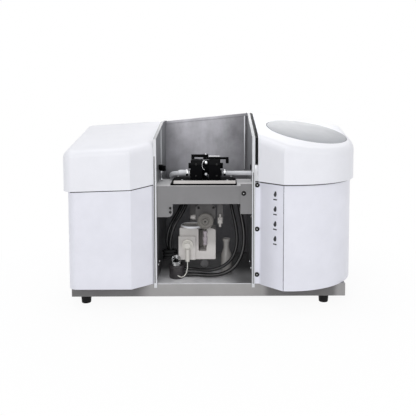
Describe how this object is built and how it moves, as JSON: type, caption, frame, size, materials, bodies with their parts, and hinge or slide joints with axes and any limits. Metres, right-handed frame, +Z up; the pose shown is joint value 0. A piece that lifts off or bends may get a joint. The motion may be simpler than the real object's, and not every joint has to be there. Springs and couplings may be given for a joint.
{
  "type": "atomic absorption spectrophotometer",
  "caption": "Benchtop atomic absorption spectrophotometer: open atomiser chamber with graphite furnace and burner gear between a monochromator housing and a lamp turret under a round lid.",
  "frame": {"origin": "bench level under the middle of the instrument", "axes": "+X to the instrument's right as seen from the front, +Y to its back, +Z up"},
  "size_m": [0.876, 0.4914, 0.567],
  "materials": {
    "base_pan": "satin grey enamel",
    "rubber_feet": "matt",
    "left_side_plate": "brushed",
    "right_side_plate": "brushed",
    "chamber_back_wall": "satin grey enamel",
    "door_seal": "matt",
    "atomiser_shelf": "satin grey enamel",
    "shelf_end_bracket": "satin grey enamel",
    "left_top_shell": "fine textured",
    "left_lower_cover": "smooth white enamel",
    "right_top_shell": "fine textured",
    "right_curved_panel": "smooth white enamel",
    "right_key_panel": "smooth white enamel",
    "key_1": "smooth",
    "key_2": "smooth",
    "key_3": "smooth",
    "key_4": "smooth",
    "panel_screws": "black oxide",
    "lamp_lid": "satin light grey",
    "rear_panel": "powder coat",
    "power_inlet": "moulded black",
    "power_rocker": "gloss black",
    "gas_inlets": "machined",
    "fan_frame": "moulded black",
    "fan_rotor": "moulded black",
    "optical_bench": "cast, matt",
    "collimator_mirrors": "first-surface mirror",
    "grating_table": "anodised",
    "photomultiplier": "matt black can",
    "beam_barrels": "black anodised",
    "beam_windows": "polished silica",
    "flame_sensor": "polished tip",
    "power_supply": "folded sheet",
    "main_board": "green laminate",
    "gas_control_block": "machined",
    "lamp_bench": "machined",
    "lamp_turret": "black anodised",
    "hollow_cathode_lamps": "clear tube",
    "turret_motor": "matt black",
    "furnace_base_plate": "black anodised",
    "furnace_front_strip": "smooth cream",
    "furnace_block_left": "black anodised",
    "furnace_block_right": "black anodised",
    "graphite_tube": "pyrolytic graphite",
    "lever_post": "polished",
    "clamp_lever_left": "black",
    "clamp_lever_right": "black",
    "water_hoses": "white silicone",
    "hose_clamps": "bright",
    "lift_bracket": "dark grey enamel",
    "handwheel": "moulded grey",
    "spray_chamber": "moulded cream",
    "gas_fittings": "moulded cream",
    "nebuliser": "machined polymer",
    "sample_capillary": "clear polymer",
    "spray_chamber_plug": "dark grey",
    "drain_trap": "dark",
    "drain_vessel": "translucent",
    "gas_hoses": "black rubber",
    "drain_hose": "grey translucent"
  },
  "bodies": {
    "housing": {"base_pan": "base_pan", "rubber_feet": "rubber_feet", "left_side_plate": "left_side_plate", "right_side_plate": "right_side_plate", "chamber_back_wall": "chamber_back_wall", "door_seal": "door_seal", "atomiser_shelf": "atomiser_shelf", "shelf_end_bracket": "shelf_end_bracket", "left_top_shell": "left_top_shell", "left_lower_cover": "left_lower_cover", "right_top_shell": "right_top_shell", "right_curved_panel": "right_curved_panel", "right_key_panel": "right_key_panel", "panel_screws": "panel_screws", "rear_panel": "rear_panel", "power_inlet": "power_inlet", "gas_inlets": "gas_inlets", "fan_frame": "fan_frame", "optical_bench": "optical_bench", "collimator_mirrors": "collimator_mirrors", "photomultiplier": "photomultiplier", "beam_barrels": "beam_barrels", "beam_windows": "beam_windows", "flame_sensor": "flame_sensor", "power_supply": "power_supply", "main_board": "main_board", "gas_control_block": "gas_control_block", "lamp_bench": "lamp_bench", "turret_motor": "turret_motor", "furnace_base_plate": "furnace_base_plate", "furnace_front_strip": "furnace_front_strip", "furnace_block_left": "furnace_block_left", "graphite_tube": "graphite_tube", "lever_post": "lever_post", "water_hoses": "water_hoses", "hose_clamps": "hose_clamps", "lift_bracket": "lift_bracket", "gas_fittings": "gas_fittings", "drain_trap": "drain_trap", "drain_vessel": "drain_vessel", "gas_hoses": "gas_hoses", "drain_hose": "drain_hose"},
    "lid": {"lamp_lid": "lamp_lid"},
    "turret": {"lamp_turret": "lamp_turret", "hollow_cathode_lamps": "hollow_cathode_lamps"},
    "key_a": {"key_1": "key_1"},
    "key_b": {"key_2": "key_2"},
    "key_c": {"key_3": "key_3"},
    "key_d": {"key_4": "key_4"},
    "lift_wheel": {"handwheel": "handwheel"},
    "lift": {"spray_chamber": "spray_chamber", "nebuliser": "nebuliser", "sample_capillary": "sample_capillary", "spray_chamber_plug": "spray_chamber_plug"},
    "furnace_contact": {"furnace_block_right": "furnace_block_right"},
    "lever_left": {"clamp_lever_left": "clamp_lever_left"},
    "lever_right": {"clamp_lever_right": "clamp_lever_right"},
    "grating": {"grating_table": "grating_table"},
    "fan": {"fan_rotor": "fan_rotor"},
    "rocker": {"power_rocker": "power_rocker"}
  },
  "joints": [
    {"name": "lid_lift", "type": "slide", "parent": "housing", "child": "lid", "axis": [0.1455, -0.194, 0.9701], "range_m": [0, 0.1]},
    {"name": "turret_turn", "type": "hinge", "parent": "housing", "child": "turret", "pos_m": [0.165, -0.06, 0.335], "axis": [1, 0, 0], "continuous": true},
    {"name": "key_1_press", "type": "slide", "parent": "housing", "child": "key_a", "axis": [0.7118, 0.7024, 0], "range_m": [0, 0.001], "stiffness_N_per_m": 600},
    {"name": "key_2_press", "type": "slide", "parent": "housing", "child": "key_b", "axis": [0.7118, 0.7024, 0], "range_m": [0, 0.001], "stiffness_N_per_m": 600},
    {"name": "key_3_press", "type": "slide", "parent": "housing", "child": "key_c", "axis": [0.7118, 0.7024, 0], "range_m": [0, 0.001], "stiffness_N_per_m": 600},
    {"name": "key_4_press", "type": "slide", "parent": "housing", "child": "key_d", "axis": [0.7118, 0.7024, 0], "range_m": [0, 0.001], "stiffness_N_per_m": 600},
    {"name": "wheel_turn", "type": "hinge", "parent": "housing", "child": "lift_wheel", "pos_m": [-0.029, -0.118, 0.243], "axis": [0, -1, 0], "range_deg": [-540, 540]},
    {"name": "atomiser_lift", "type": "slide", "parent": "housing", "child": "lift", "axis": [0, 0, 1], "range_m": [-0.006, 0.006], "deforming": ["gas_hoses"]},
    {"name": "furnace_open", "type": "slide", "parent": "housing", "child": "furnace_contact", "axis": [1, 0, 0], "range_m": [0, 0.008], "deforming": ["water_hoses"]},
    {"name": "lever_left_turn", "type": "hinge", "parent": "housing", "child": "lever_left", "pos_m": [-0.029, -0.06, 0.43], "axis": [0, 0, 1], "range_deg": [-40, 0]},
    {"name": "lever_right_turn", "type": "hinge", "parent": "housing", "child": "lever_right", "pos_m": [-0.029, -0.06, 0.43], "axis": [0, 0, 1], "range_deg": [0, 40]},
    {"name": "grating_turn", "type": "hinge", "parent": "housing", "child": "grating", "pos_m": [-0.29, -0.02, 0.331], "axis": [0, 0, 1], "range_deg": [-20, 20]},
    {"name": "fan_spin", "type": "hinge", "parent": "housing", "child": "fan", "pos_m": [0.3, 0.2125, 0.3], "axis": [0, -1, 0], "continuous": true},
    {"name": "rocker_tilt", "type": "hinge", "parent": "housing", "child": "rocker", "pos_m": [0.37, 0.221, 0.1245], "axis": [1, 0, 0], "range_deg": [0, 12]}
  ],
  "couplings": [
    {"joint": "wheel_turn", "follows": "atomiser_lift", "rad_per_m": 1566}
  ]
}
